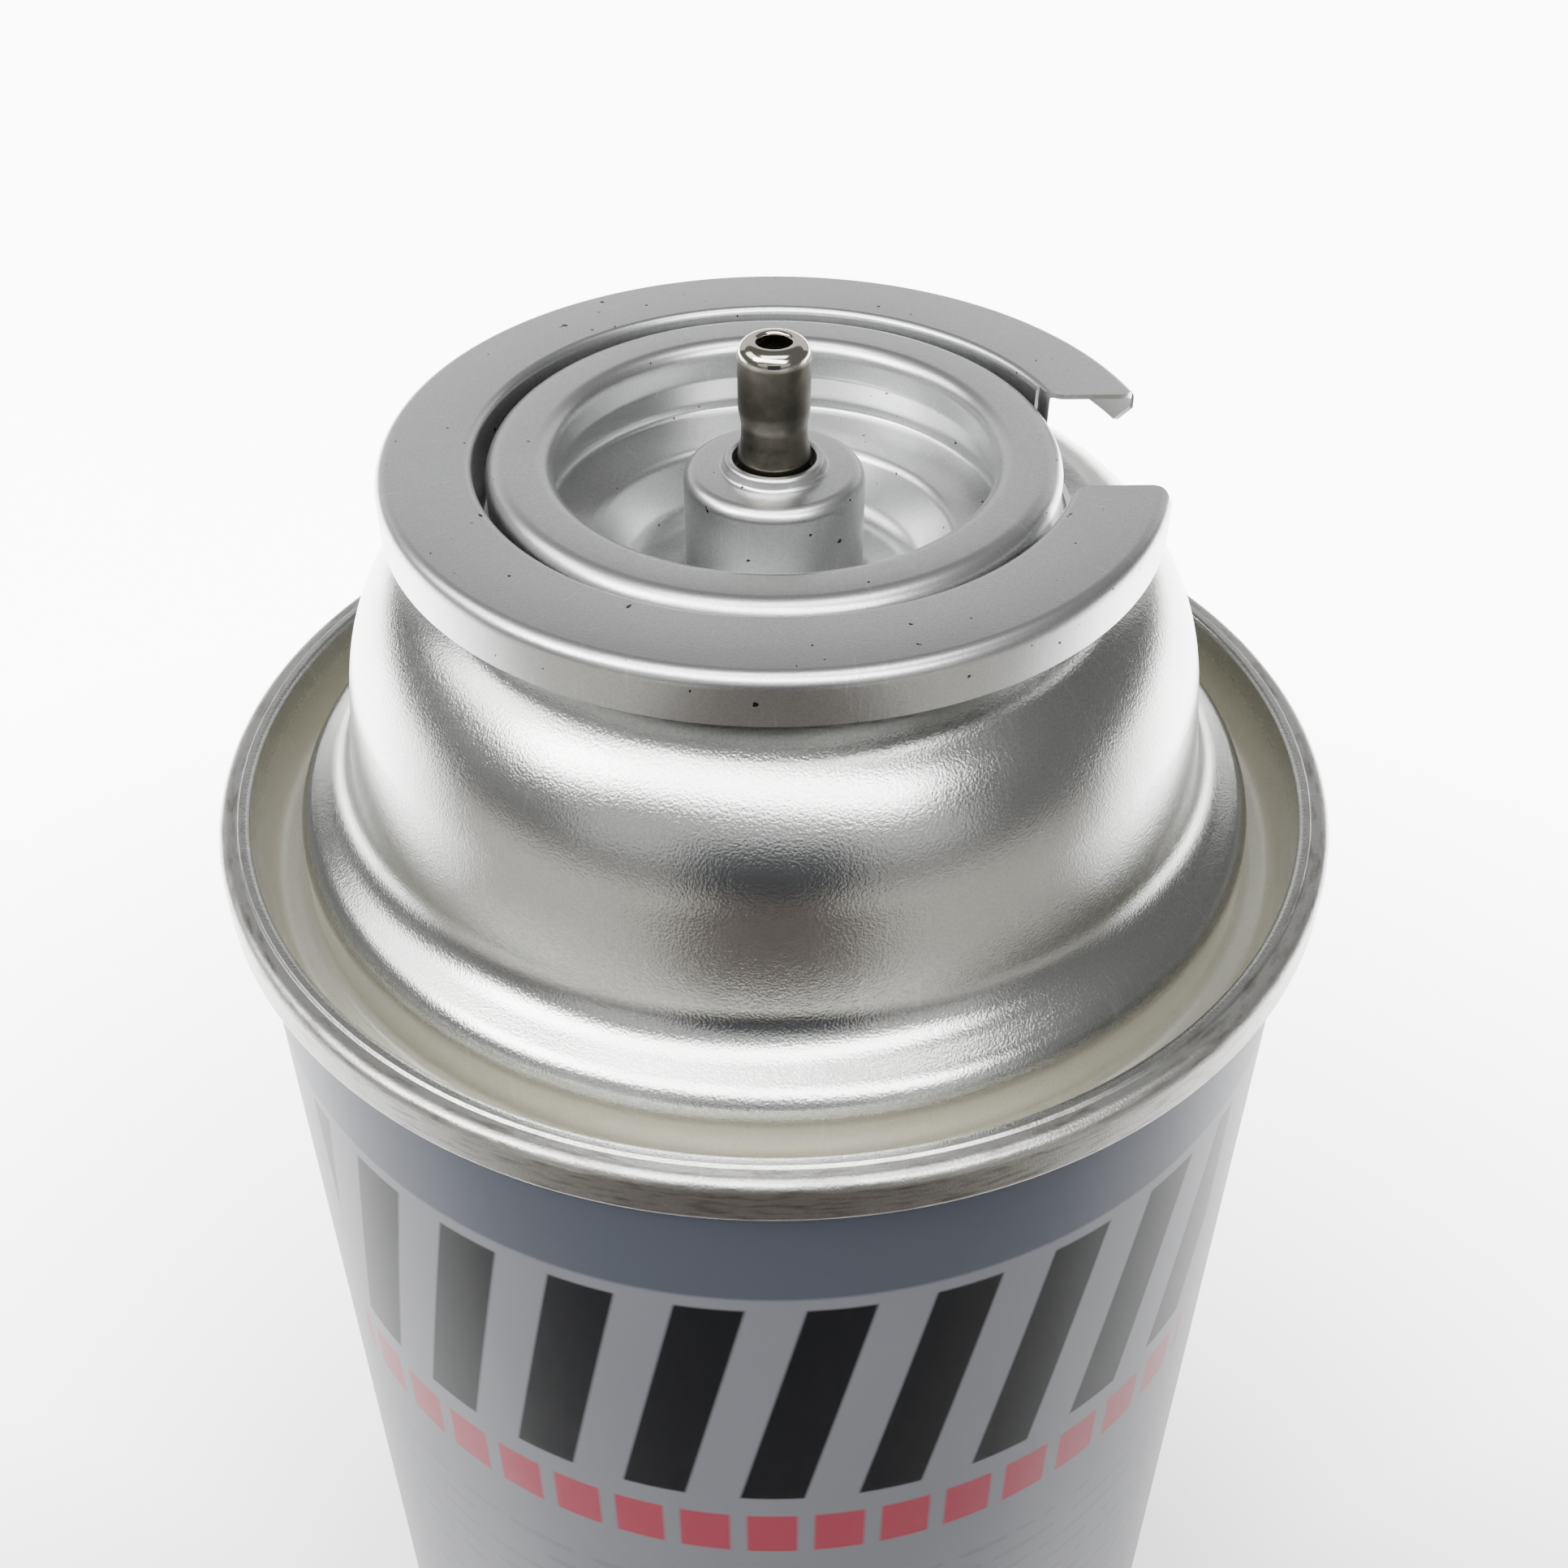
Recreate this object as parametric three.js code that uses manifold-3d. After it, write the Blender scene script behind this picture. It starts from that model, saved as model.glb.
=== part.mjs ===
// Gas cartridge for a portable stove: a sealed tinplate can with a stepped dome,
// a notched locating collar, a one inch valve cup and a spring-loaded valve stem.
// Millimetres, Z up, foot of the base seam at Z = 0, printed front towards -Y.

import * as THREE from 'three';
import { mergeVertices } from 'three/addons/utils/BufferGeometryUtils.js';
import Module from 'manifold-3d';

const wasm = await Module();
wasm.setup();

// Vessel
const BODY_HEIGHT = 158; // foot of the base seam to the top of the upper seam
const BODY_DIAMETER = 65.3; // cylindrical wall
const SEAM_PROJECTION = 1.35; // how far a double seam stands out from the wall
const SEAM_HEIGHT = 3.05;
const SEAM_THICKNESS = 1.75; // outer face to the chuck wall, at the crest
const SEAM_ROUNDING = 0.85;
const SEAM_LIP = 0.4; // small rounding where a seam meets the wall
const CHUCK_TAPER = 1; // how far the chuck wall leans in on its way down
const BASE_RISE = 12; // centre of the concave base above the foot
const BASE_RECESS = 5.4; // straight recess inside the foot ring
const BASE_EDGE = 1.3; // rounding between that recess and the base
const COUNTERSINK_DEPTH = 4.5; // groove inside the upper seam
const COUNTERSINK_ROUNDING = 0.8;
const SHOULDER_DIAMETER = 58.4; // outer foot of the shoulder, in that groove
const SHOULDER_DROP = 0.25; // shoulder edge below the crest of the seam
const SHOULDER_ROUNDING = 1;
const STEP_RISE = 1.9; // foot of the dome wall above the crest of the seam
const STEP_OFFSET = 0.6; // foot of the dome wall outside its widest part
const STEP_ROUNDING = 1.6;
const DOME_DIAMETER = 50.1;
const DOME_RISE = 17.1; // crest of the seam to the neck seat
const DOME_CROWN = 10.6; // height of the rounded part below the seat

// Mouth
const MOUTH_DIAMETER = 25.4;
const BEAD_DIAMETER = 31.1;
const BEAD_HEIGHT = 3.7; // neck seat to the top of the curled bead
const BEAD_CURL = 2.4; // height of the curl itself
const BEAD_ROUNDING = 0.6;
const NECK_DIAMETER = 29.2;
const SEAT_WIDTH = 2.8; // flat ring round the neck that carries the collar

// Sheet and fits
const SHEET = 0.3; // valve cup and collar tinplate
const CUP_FIT = 0.15; // cup wall to mouth
const BEAD_FIT = 0.1; // cup skirt to bead
const NECK_FIT = 0.3; // collar flange to neck
const POCKET_GAP = 0.3; // valve parts to the vessel round them
const STEM_FIT = 0.15; // stem to gasket
const LIP_FIT = 0.3; // stem to the lip of the cup
const HOUSING_FIT = 0.15; // housing to pedestal
const TUBE_FIT = 0.1; // tube bore to nipple
const TUBE_GAP = 0.2; // tube end to housing

// Collar
const COLLAR_DIAMETER = 43.7;
const COLLAR_HEIGHT = 4.5; // neck seat to the top face
const COLLAR_SKIRT = 2.85; // height of the outer skirt
const COLLAR_GAP = 0.65; // cup rim to the inner wall of the collar
const COLLAR_EDGE = 0.9; // rounding of the outer top edge
const COLLAR_INNER_EDGE = 0.6;
const NOTCH_WIDTH = 10.05;
const NOTCH_FLARE = 2.3; // widening of each side down the skirt
const NOTCH_INNER_CORNER = 1.3;
const NOTCH_OUTER_CORNER = 0.8;
const NOTCH_AZIMUTH = 1.6; // degrees from +X towards +Y

// Valve cup
const SEAL_THICKNESS = 0.4;
const SEAL_WIDTH = 1.2;
const RIM_ROUNDING = 0.9; // both edges of the rim
const WELL_DEPTH = 9; // rim to the floor of the groove round the pedestal
const GROOVE_WIDTH = 4.4; // pedestal to the corner of the groove wall
const GROOVE_ROUNDING = 0.8;
const LEDGE_DEPTH = 5.3; // rim to the ledge outside that groove
const LEDGE_WIDTH = 2; // ledge inside the well wall
const LEDGE_ROUNDING = 0.9;
const CRIMP_DEPTH = 4.2; // rim to the widest part of the crimp
const CRIMP_BULGE = 0.95; // crimp beyond the well wall
const CRIMP_ROUNDING = 0.4;
const CRIMP_HEIGHT = 2; // rise over which the crimp runs back to the wall
const PEDESTAL_DIAMETER = 10.17;
const PEDESTAL_DROP = 1.4; // rim to the pedestal plateau
const PEDESTAL_EDGE = 0.7;
const LIP_HEIGHT = 0.7; // lip round the stem above the plateau
const LIP_WIDTH = 0.5;
const LIP_ROUNDING = 0.18;

// Valve
const STEM_DIAMETER = 4;
const STEM_FLARE = 4.1; // at the lip
const STEM_WAIST = 3.67;
const STEM_WAIST_RISE = 1.9; // lip to the waist
const STEM_HEAD = 4.2; // straight head above the waist
const STEM_PROJECTION = 6.9; // lip to the tip
const STEM_TIP_ROUNDING = 0.75;
const STEM_BORE = 1.9;
const STEM_BORE_END = 0.3; // bottom of the bore above the gasket's underside
const STEM_SHOULDER_DIAMETER = 5.9;
const STEM_SHOULDER = 0.8; // thickness
const STEM_TAIL = 2.3; // spigot inside the spring
const STEM_TAIL_DIAMETER = 2.7;
const METERING_HOLE = 0.7; // cross hole that the gasket covers at rest
const GASKET_THICKNESS = 1.2;
const GASKET_DIAMETER = 8.2;
const HOUSING_HEIGHT = 9.3;
const HOUSING_FLOOR = 1.2;
const HOUSING_CHAMFER = 0.9;
const HOUSING_BORE = 6.6;
const NIPPLE_DIAMETER = 3.4;
const NIPPLE_LENGTH = 3.8;
const NIPPLE_CHAMFER = 0.3;
const INLET_DIAMETER = 1.6;
const SPRING_WIRE = 0.5;
const SPRING_DIAMETER = 4.4; // mean
const SPRING_COILS = 5;

// Vapour tube
const TUBE_WALL = 0.55;
const TUBE_BEND = 5; // centre line radius
const TUBE_DROP = 7.8; // housing to the level run
const TUBE_REACH = 21; // axis to the open end

// Facets
const VESSEL_FACETS = 48;
const CUP_FACETS = 40;
const VALVE_FACETS = 24;
const WIRE_FACETS = 6;
const STEPS_PER_COIL = 16;
const TUBE_FACETS = 16;
const TUBE_STEPS = 14;
const FILLET_STEP = Math.PI / 5; // largest turn in one step of a rounding
const CROWN_STEPS = 7;
const BASE_STEPS = 4;

// Levels and radii that follow from the sizes
const bodyRadius = BODY_DIAMETER / 2;
const seamRadius = bodyRadius + SEAM_PROJECTION;
const crestRadius = seamRadius - SEAM_THICKNESS;
const chuckFoot = crestRadius - CHUCK_TAPER;
const shoulderRadius = SHOULDER_DIAMETER / 2;
const domeRadius = DOME_DIAMETER / 2;
const neckRadius = NECK_DIAMETER / 2;
const seatRadius = neckRadius + SEAT_WIDTH;
const beadRadius = BEAD_DIAMETER / 2;
const mouthRadius = MOUTH_DIAMETER / 2;
const seatLevel = BODY_HEIGHT + DOME_RISE;
const beadTop = seatLevel + BEAD_HEIGHT;
const rimLevel = beadTop + SEAL_THICKNESS + SHEET;
const wellRadius = mouthRadius - CUP_FIT - SHEET;
const rimRadius = beadRadius + BEAD_FIT + SHEET;
const crimpRadius = wellRadius + CRIMP_BULGE;
const pocketRadius = crimpRadius + SHEET + CUP_FIT;
const pedestalRadius = PEDESTAL_DIAMETER / 2;
const plateauLevel = rimLevel - PEDESTAL_DROP;
const grooveLevel = rimLevel - WELL_DEPTH;
const ledgeLevel = rimLevel - LEDGE_DEPTH;
const crimpLevel = rimLevel - CRIMP_DEPTH;
const gasketTop = plateauLevel - SHEET;
const gasketBottom = gasketTop - GASKET_THICKNESS;
const stemRadius = STEM_DIAMETER / 2;
const flareRadius = STEM_FLARE / 2;
const lipRadius = stemRadius + LIP_FIT;
const lipLevel = plateauLevel + LIP_HEIGHT;
const tipLevel = lipLevel + STEM_PROJECTION;
const housingRadius = pedestalRadius - SHEET - HOUSING_FIT;
const housingBottom = gasketBottom - HOUSING_HEIGHT;
const springFloor = housingBottom + HOUSING_FLOOR;
const springTop = gasketBottom - STEM_SHOULDER;
const nippleRadius = NIPPLE_DIAMETER / 2;
const tubeBore = nippleRadius + TUBE_FIT;
const tubeRadius = tubeBore + TUBE_WALL;
const tubeTop = housingBottom - TUBE_GAP;
const tubeRun = housingBottom - TUBE_DROP;

// Draws an outline of [radius, level, rounding] corners, with an arc at each rounded one.
function rounded(corners) {
  return corners.flatMap(([radius, level, rounding = 0], i) => {
    const before = corners[i - 1];
    const after = corners[i + 1];
    const corner = new THREE.Vector2(radius, level);
    if (rounding === 0 || !before || !after) {
      return [[radius, level]];
    }
    const back = new THREE.Vector2(before[0], before[1]).sub(corner).normalize();
    const ahead = new THREE.Vector2(after[0], after[1]).sub(corner).normalize();
    const turn = Math.PI - Math.acos(back.dot(ahead));
    const reach = rounding * Math.tan(turn / 2);
    const start = corner.clone().addScaledVector(back, reach);
    const inward = back.clone().add(ahead).normalize();
    const centre = corner.clone().addScaledVector(inward, rounding / Math.cos(turn / 2));
    const way = Math.sign(ahead.cross(back));
    const steps = Math.max(1, Math.ceil(turn / FILLET_STEP));
    return Array.from({ length: steps + 1 }, (_, k) => {
      const point = start.clone().rotateAround(centre, (way * turn * k) / steps);
      return [point.x, point.y];
    });
  });
}

// Turns a closed or axis-to-axis outline of [radius, level] pairs about Z.
function turned(outline, facets) {
  const points = outline.map(([radius, level]) => new THREE.Vector2(radius, level));
  const geometry = new THREE.LatheGeometry(points, facets);
  geometry.rotateX(Math.PI / 2);
  return welded(geometry);
}

// Joins equal corners and drops the empty triangles that a pole leaves behind.
function welded(geometry) {
  geometry.deleteAttribute('normal');
  geometry.deleteAttribute('uv');
  const joined = mergeVertices(geometry, 1e-5);
  const corners = joined.index.array;
  const kept = [];
  for (let i = 0; i < corners.length; i += 3) {
    const [a, b, c] = [corners[i], corners[i + 1], corners[i + 2]];
    if (a !== b && b !== c && c !== a) {
      kept.push(a, b, c);
    }
  }
  joined.setIndex(kept);
  return joined;
}

function toSolid(geometry) {
  const vertProperties = new Float32Array(geometry.attributes.position.array);
  const triVerts = new Uint32Array(geometry.index.array);
  return new wasm.Manifold(new wasm.Mesh({ numProp: 3, vertProperties, triVerts }));
}

function toGeometry(solid) {
  const mesh = solid.getMesh();
  const geometry = new THREE.BufferGeometry();
  geometry.setAttribute('position', new THREE.BufferAttribute(mesh.vertProperties, 3));
  geometry.setIndex(new THREE.BufferAttribute(mesh.triVerts, 1));
  return geometry;
}

// Moves an open outline sideways by one sheet thickness, to its left as it runs.
function offset(outline, distance) {
  return outline.map((point, i) => {
    const before = outline[Math.max(i - 1, 0)];
    const after = outline[Math.min(i + 1, outline.length - 1)];
    const normals = [[before, point], [point, after]]
      .filter(([from, to]) => from !== to)
      .map(([from, to]) => new THREE.Vector2(from[1] - to[1], to[0] - from[0]).normalize());
    const middle = normals.reduce((sum, n) => sum.clone().add(n)).normalize();
    const stretch = distance / middle.dot(normals[0]);
    return [point[0] + middle.x * stretch, point[1] + middle.y * stretch];
  });
}

// A round bar along a bent line that drops from the valve and turns level.
function bentBar(radius, top, reach) {
  const path = new THREE.CurvePath();
  const corner = new THREE.Vector3(0, 0, tubeRun);
  const start = new THREE.Vector3(0, 0, tubeRun + TUBE_BEND);
  const end = new THREE.Vector3(TUBE_BEND, 0, tubeRun);
  path.add(new THREE.LineCurve3(new THREE.Vector3(0, 0, top), start));
  path.add(new THREE.QuadraticBezierCurve3(start, corner, end));
  path.add(new THREE.LineCurve3(end, new THREE.Vector3(reach, 0, tubeRun)));
  const section = new THREE.Shape();
  section.absarc(0, 0, radius, 0, Math.PI * 2);
  const geometry = new THREE.ExtrudeGeometry(section, {
    steps: TUBE_STEPS,
    curveSegments: TUBE_FACETS / 2,
    extrudePath: path,
  });
  geometry.rotateZ(THREE.MathUtils.degToRad(NOTCH_AZIMUTH));
  return toSolid(welded(geometry));
}

const group = new THREE.Group();
group.name = 'stove_gas_cartridge';

function addPart(name, geometry, color, roughness, metalness) {
  const material = new THREE.MeshStandardMaterial({ color, roughness, metalness });
  const mesh = new THREE.Mesh(geometry, material);
  mesh.name = name;
  group.add(mesh);
}

// Can: wall, dome and base seamed together and filled, with the pocket for the valve.
const baseEdge = chuckFoot - BASE_EDGE / 2;
const baseBowl = Array.from({ length: BASE_STEPS }, (_, k) => {
  const share = k / BASE_STEPS;
  return [baseEdge * share, BASE_RECESS + (BASE_RISE - BASE_RECESS) * (1 - share ** 2)];
});
const crown = Array.from({ length: CROWN_STEPS }, (_, k) => {
  const angle = (k / CROWN_STEPS) * (Math.PI / 2);
  const radius = seatRadius + (domeRadius - seatRadius) * Math.cos(angle);
  return [radius, seatLevel - DOME_CROWN * (1 - Math.sin(angle))];
});
const countersinkLevel = BODY_HEIGHT - COUNTERSINK_DEPTH;
const shoulderLevel = BODY_HEIGHT - SHOULDER_DROP;
const pocketFloor = grooveLevel - SHEET - POCKET_GAP;
const pocketCorner = crimpLevel + CRIMP_ROUNDING;
const canOutline = rounded([
  ...baseBowl,
  [baseEdge, BASE_RECESS, BASE_EDGE],
  [chuckFoot, BASE_RECESS - BASE_EDGE, BASE_EDGE],
  [crestRadius, 0, SEAM_LIP],
  [seamRadius, 0, SEAM_ROUNDING],
  [seamRadius, SEAM_HEIGHT, SEAM_LIP],
  [bodyRadius, SEAM_HEIGHT, SEAM_LIP],
  [bodyRadius, BODY_HEIGHT - SEAM_HEIGHT, SEAM_LIP],
  [seamRadius, BODY_HEIGHT - SEAM_HEIGHT, SEAM_LIP],
  [seamRadius, BODY_HEIGHT, SEAM_ROUNDING],
  [crestRadius, BODY_HEIGHT, SEAM_LIP],
  [chuckFoot, countersinkLevel, COUNTERSINK_ROUNDING],
  [shoulderRadius, countersinkLevel, COUNTERSINK_ROUNDING],
  [shoulderRadius, shoulderLevel, SHOULDER_ROUNDING],
  [domeRadius + STEP_OFFSET, BODY_HEIGHT + STEP_RISE, STEP_ROUNDING],
  ...crown,
  [seatRadius, seatLevel],
  [neckRadius, seatLevel],
  [neckRadius, beadTop - BEAD_CURL, SEAM_LIP],
  [beadRadius, beadTop - BEAD_CURL, BEAD_ROUNDING],
  [beadRadius, beadTop, BEAD_ROUNDING],
  [mouthRadius, beadTop, BEAD_ROUNDING],
  [mouthRadius, crimpLevel + CRIMP_HEIGHT],
  [pocketRadius, pocketCorner],
  [pocketRadius, pocketFloor],
  [housingRadius + POCKET_GAP, pocketFloor],
  [housingRadius + POCKET_GAP, housingBottom - POCKET_GAP],
  [0, housingBottom - POCKET_GAP],
]);
const tubeChannel = bentBar(tubeRadius + POCKET_GAP, tubeTop + POCKET_GAP, TUBE_REACH + POCKET_GAP);
const canSolid = toSolid(turned(canOutline, VESSEL_FACETS)).subtract(tubeChannel);
addPart('can', toGeometry(canSolid), 0xb4b8be, 0.32, 0.9);

// Collar: drawn ring with a flange under the cup, a flat top, a skirt and one notch.
const collarInner = rimRadius + COLLAR_GAP;
const collarOuter = COLLAR_DIAMETER / 2;
const collarTop = seatLevel + COLLAR_HEIGHT;
const skirtBottom = collarTop - COLLAR_SKIRT;
const collarFace = rounded([
  [neckRadius + NECK_FIT, seatLevel + SHEET],
  [collarInner, seatLevel + SHEET, COLLAR_INNER_EDGE / 2],
  [collarInner, collarTop, COLLAR_INNER_EDGE],
  [collarOuter, collarTop, COLLAR_EDGE],
  [collarOuter, skirtBottom],
]);
const collarBack = offset(collarFace, -SHEET);
const collarOutline = [...collarFace.reverse(), ...collarBack, collarFace[0]];
const collarSolid = toSolid(turned(collarOutline, VESSEL_FACETS));

// The notch runs straight out. Its corners are rounded where it meets the two edges of the collar.
const notchHalf = NOTCH_WIDTH / 2;
const notchEnd = collarOuter + COLLAR_EDGE;
const innerSide = notchHalf + NOTCH_INNER_CORNER;
const outerSide = notchHalf + NOTCH_OUTER_CORNER;
const innerEdgeAt = (side) => Math.sqrt((collarInner + SHEET / 2) ** 2 - side ** 2);
const outerEdgeAt = (side) => Math.sqrt((collarOuter - SHEET / 2) ** 2 - side ** 2);
const innerStraight = innerEdgeAt(notchHalf) + NOTCH_INNER_CORNER;
const outerStraight = outerEdgeAt(notchHalf) - NOTCH_OUTER_CORNER;
const notchStart = innerEdgeAt(innerSide) - COLLAR_GAP;
const notchPlan = new THREE.Shape();
notchPlan.moveTo(notchStart, -innerSide);
notchPlan.lineTo(innerEdgeAt(innerSide), -innerSide);
notchPlan.quadraticCurveTo(innerEdgeAt(notchHalf), -notchHalf, innerStraight, -notchHalf);
notchPlan.lineTo(outerStraight, -notchHalf);
notchPlan.quadraticCurveTo(outerEdgeAt(notchHalf), -notchHalf, outerEdgeAt(outerSide), -outerSide);
notchPlan.lineTo(notchEnd, -outerSide);
notchPlan.lineTo(notchEnd, outerSide);
notchPlan.lineTo(outerEdgeAt(outerSide), outerSide);
notchPlan.quadraticCurveTo(outerEdgeAt(notchHalf), notchHalf, outerStraight, notchHalf);
notchPlan.lineTo(innerStraight, notchHalf);
notchPlan.quadraticCurveTo(innerEdgeAt(notchHalf), notchHalf, innerEdgeAt(innerSide), innerSide);
notchPlan.lineTo(notchStart, innerSide);
notchPlan.closePath();
const notchCut = new THREE.ExtrudeGeometry(notchPlan, {
  depth: COLLAR_HEIGHT,
  bevelEnabled: false,
  curveSegments: 4,
});
notchCut.translate(0, 0, seatLevel + SHEET + COLLAR_INNER_EDGE / 4);

// Down the skirt the notch opens out on both sides.
const skirtTop = collarTop - SHEET - COLLAR_EDGE / 9;
const flareHalf = notchHalf + NOTCH_FLARE;
const skirtPlan = new THREE.Shape();
skirtPlan.moveTo(-notchHalf, skirtTop);
skirtPlan.lineTo(-flareHalf, skirtBottom);
skirtPlan.lineTo(-flareHalf, skirtBottom - SHEET);
skirtPlan.lineTo(flareHalf, skirtBottom - SHEET);
skirtPlan.lineTo(flareHalf, skirtBottom);
skirtPlan.lineTo(notchHalf, skirtTop);
skirtPlan.closePath();
const skirtStart = Math.sqrt((collarOuter - SHEET) ** 2 - flareHalf ** 2) - SHEET;
const skirtCut = new THREE.ExtrudeGeometry(skirtPlan, {
  depth: notchEnd - skirtStart,
  bevelEnabled: false,
});
skirtCut.rotateX(Math.PI / 2);
skirtCut.rotateZ(Math.PI / 2);
skirtCut.translate(skirtStart, 0, 0);

const notchTurn = THREE.MathUtils.degToRad(NOTCH_AZIMUTH);
notchCut.rotateZ(notchTurn);
skirtCut.rotateZ(notchTurn);
const notchedCollar = collarSolid.subtract(toSolid(welded(notchCut))).subtract(toSolid(welded(skirtCut)));
addPart('collar_ring', toGeometry(notchedCollar), 0xb9baba, 0.35, 1);

// Valve cup: one drawn piece from the lip round the stem to the skirt over the bead.
const lipOuter = lipRadius + LIP_WIDTH;
const plateauEdge = pedestalRadius - PEDESTAL_EDGE;
const grooveCorner = pedestalRadius + GROOVE_WIDTH;
const lipFace = rounded([
  [lipRadius, plateauLevel],
  [lipRadius, lipLevel, LIP_ROUNDING],
  [lipOuter, lipLevel, LIP_ROUNDING],
  [lipOuter, plateauLevel, LIP_ROUNDING],
  [plateauEdge, plateauLevel],
]);
const cupFace = rounded([
  [plateauEdge - SHEET, plateauLevel],
  [pedestalRadius, plateauLevel, PEDESTAL_EDGE],
  [pedestalRadius, grooveLevel, GROOVE_ROUNDING],
  [grooveCorner - LEDGE_ROUNDING, grooveLevel, 2 * GROOVE_ROUNDING],
  [wellRadius - LEDGE_WIDTH, ledgeLevel - LEDGE_ROUNDING / 2, LEDGE_ROUNDING],
  [crimpRadius, ledgeLevel + LEDGE_ROUNDING / 2, CRIMP_ROUNDING],
  [crimpRadius, crimpLevel, CRIMP_ROUNDING],
  [wellRadius, crimpLevel + CRIMP_HEIGHT, CRIMP_ROUNDING],
  [wellRadius, rimLevel, RIM_ROUNDING],
  [rimRadius, rimLevel, RIM_ROUNDING],
  [rimRadius, seatLevel + SHEET],
]);
const cupBack = offset(cupFace, -SHEET).reverse();
const cupOutline = [...lipFace.slice(0, -1), ...cupFace, ...cupBack, [lipRadius, gasketTop], lipFace[0]];
addPart('valve_cup', turned(cupOutline.reverse(), CUP_FACETS), 0xb9baba, 0.35, 1);

// Cup seal: flat rubber ring between the bead and the rim of the cup.
const sealInner = wellRadius + RIM_ROUNDING + SHEET;
const sealOuter = Math.min(sealInner + SEAL_WIDTH, rimRadius - RIM_ROUNDING - SHEET);
const sealOutline = [
  [sealInner, beadTop],
  [sealOuter, beadTop],
  [sealOuter, beadTop + SEAL_THICKNESS],
  [sealInner, beadTop + SEAL_THICKNESS],
  [sealInner, beadTop],
];
addPart('cup_seal', turned(sealOutline, CUP_FACETS), 0x2a2a2c, 0.8, 0);

// Stem gasket: thick rubber washer that closes the metering hole of the stem.
const gasketOuter = GASKET_DIAMETER / 2;
const gasketInner = stemRadius + STEM_FIT;
const gasketOutline = [
  [gasketInner, gasketBottom],
  [gasketOuter, gasketBottom],
  [gasketOuter, gasketTop],
  [gasketInner, gasketTop],
  [gasketInner, gasketBottom],
];
addPart('stem_gasket', turned(gasketOutline, VALVE_FACETS), 0x1f1f20, 0.75, 0);

// Valve housing: turned chamber for the spring, with a nipple for the tube.
const nippleEnd = housingBottom - NIPPLE_LENGTH;
const inletRadius = INLET_DIAMETER / 2;
const boreRadius = HOUSING_BORE / 2;
const housingOutline = [
  [inletRadius, nippleEnd],
  [nippleRadius - NIPPLE_CHAMFER, nippleEnd],
  [nippleRadius, nippleEnd + NIPPLE_CHAMFER],
  [nippleRadius, housingBottom],
  [housingRadius - HOUSING_CHAMFER, housingBottom],
  [housingRadius, housingBottom + HOUSING_CHAMFER],
  [housingRadius, gasketBottom - NIPPLE_CHAMFER],
  [housingRadius - NIPPLE_CHAMFER, gasketBottom],
  [boreRadius, gasketBottom],
  [boreRadius, springFloor],
  [inletRadius, springFloor],
  [inletRadius, nippleEnd],
];
addPart('valve_housing', turned(housingOutline, VALVE_FACETS), 0xd8d4c8, 0.5, 0);

// Valve stem: bored metal nozzle with a shoulder under the gasket and a spring spigot.
const tailRadius = STEM_TAIL_DIAMETER / 2;
const waistRadius = STEM_WAIST / 2;
const boreEnd = gasketBottom + STEM_BORE_END;
const holeLevel = boreEnd + METERING_HOLE / 2 + STEM_BORE_END / 2;
const stemOutline = rounded([
  [0, springTop - STEM_TAIL],
  [tailRadius, springTop - STEM_TAIL, NIPPLE_CHAMFER],
  [tailRadius, springTop],
  [STEM_SHOULDER_DIAMETER / 2, springTop],
  [STEM_SHOULDER_DIAMETER / 2, gasketBottom],
  [stemRadius, gasketBottom],
  [stemRadius, lipLevel - LIP_HEIGHT / 2],
  [flareRadius, lipLevel],
  [waistRadius, lipLevel + STEM_WAIST_RISE / 2, STEM_WAIST_RISE],
  [waistRadius, lipLevel + STEM_WAIST_RISE, STEM_WAIST_RISE],
  [stemRadius, tipLevel - STEM_HEAD],
  [stemRadius, tipLevel, STEM_TIP_ROUNDING],
  [STEM_BORE / 2, tipLevel, STEM_TIP_ROUNDING / 5],
  [STEM_BORE / 2, boreEnd + METERING_HOLE],
  [0, boreEnd],
]);
const crossHole = new THREE.CylinderGeometry(METERING_HOLE / 2, METERING_HOLE / 2, 2 * STEM_DIAMETER, 8);
crossHole.rotateZ(Math.PI / 2);
crossHole.translate(0, 0, holeLevel);
const stemSolid = toSolid(turned(stemOutline, VALVE_FACETS)).subtract(toSolid(welded(crossHole)));
addPart('valve_stem', toGeometry(stemSolid), 0x9c978e, 0.25, 1);

// Stem spring: open coil between the stem shoulder and the housing floor.
class Coil extends THREE.Curve {
  getPoint(t, target = new THREE.Vector3()) {
    const angle = t * SPRING_COILS * 2 * Math.PI;
    const bottom = springFloor + SPRING_WIRE / 2;
    const top = springTop - SPRING_WIRE / 2;
    const radius = SPRING_DIAMETER / 2;
    return target.set(radius * Math.cos(angle), radius * Math.sin(angle), bottom + (top - bottom) * t);
  }
}
const wireSection = new THREE.Shape();
wireSection.absarc(0, 0, SPRING_WIRE / 2, 0, Math.PI * 2);
const springGeometry = new THREE.ExtrudeGeometry(wireSection, {
  steps: SPRING_COILS * STEPS_PER_COIL,
  curveSegments: WIRE_FACETS / 2,
  extrudePath: new Coil(),
});
addPart('stem_spring', welded(springGeometry), 0xc8c9cb, 0.3, 1);

// Vapour tube: bent from the nipple towards the notch, open in the gas space.
const tubeOuter = bentBar(tubeRadius, tubeTop, TUBE_REACH);
const tubeInner = bentBar(tubeBore, tubeTop + TUBE_GAP, TUBE_REACH + TUBE_GAP);
addPart('vapour_tube', toGeometry(tubeOuter.subtract(tubeInner)), 0xb7babd, 0.35, 1);

export default group;
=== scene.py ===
"""Looks of the stove gas cartridge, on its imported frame. Metres, Z up, printed front towards -Y."""

import math

import bpy
from mathutils import Matrix, Vector


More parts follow.
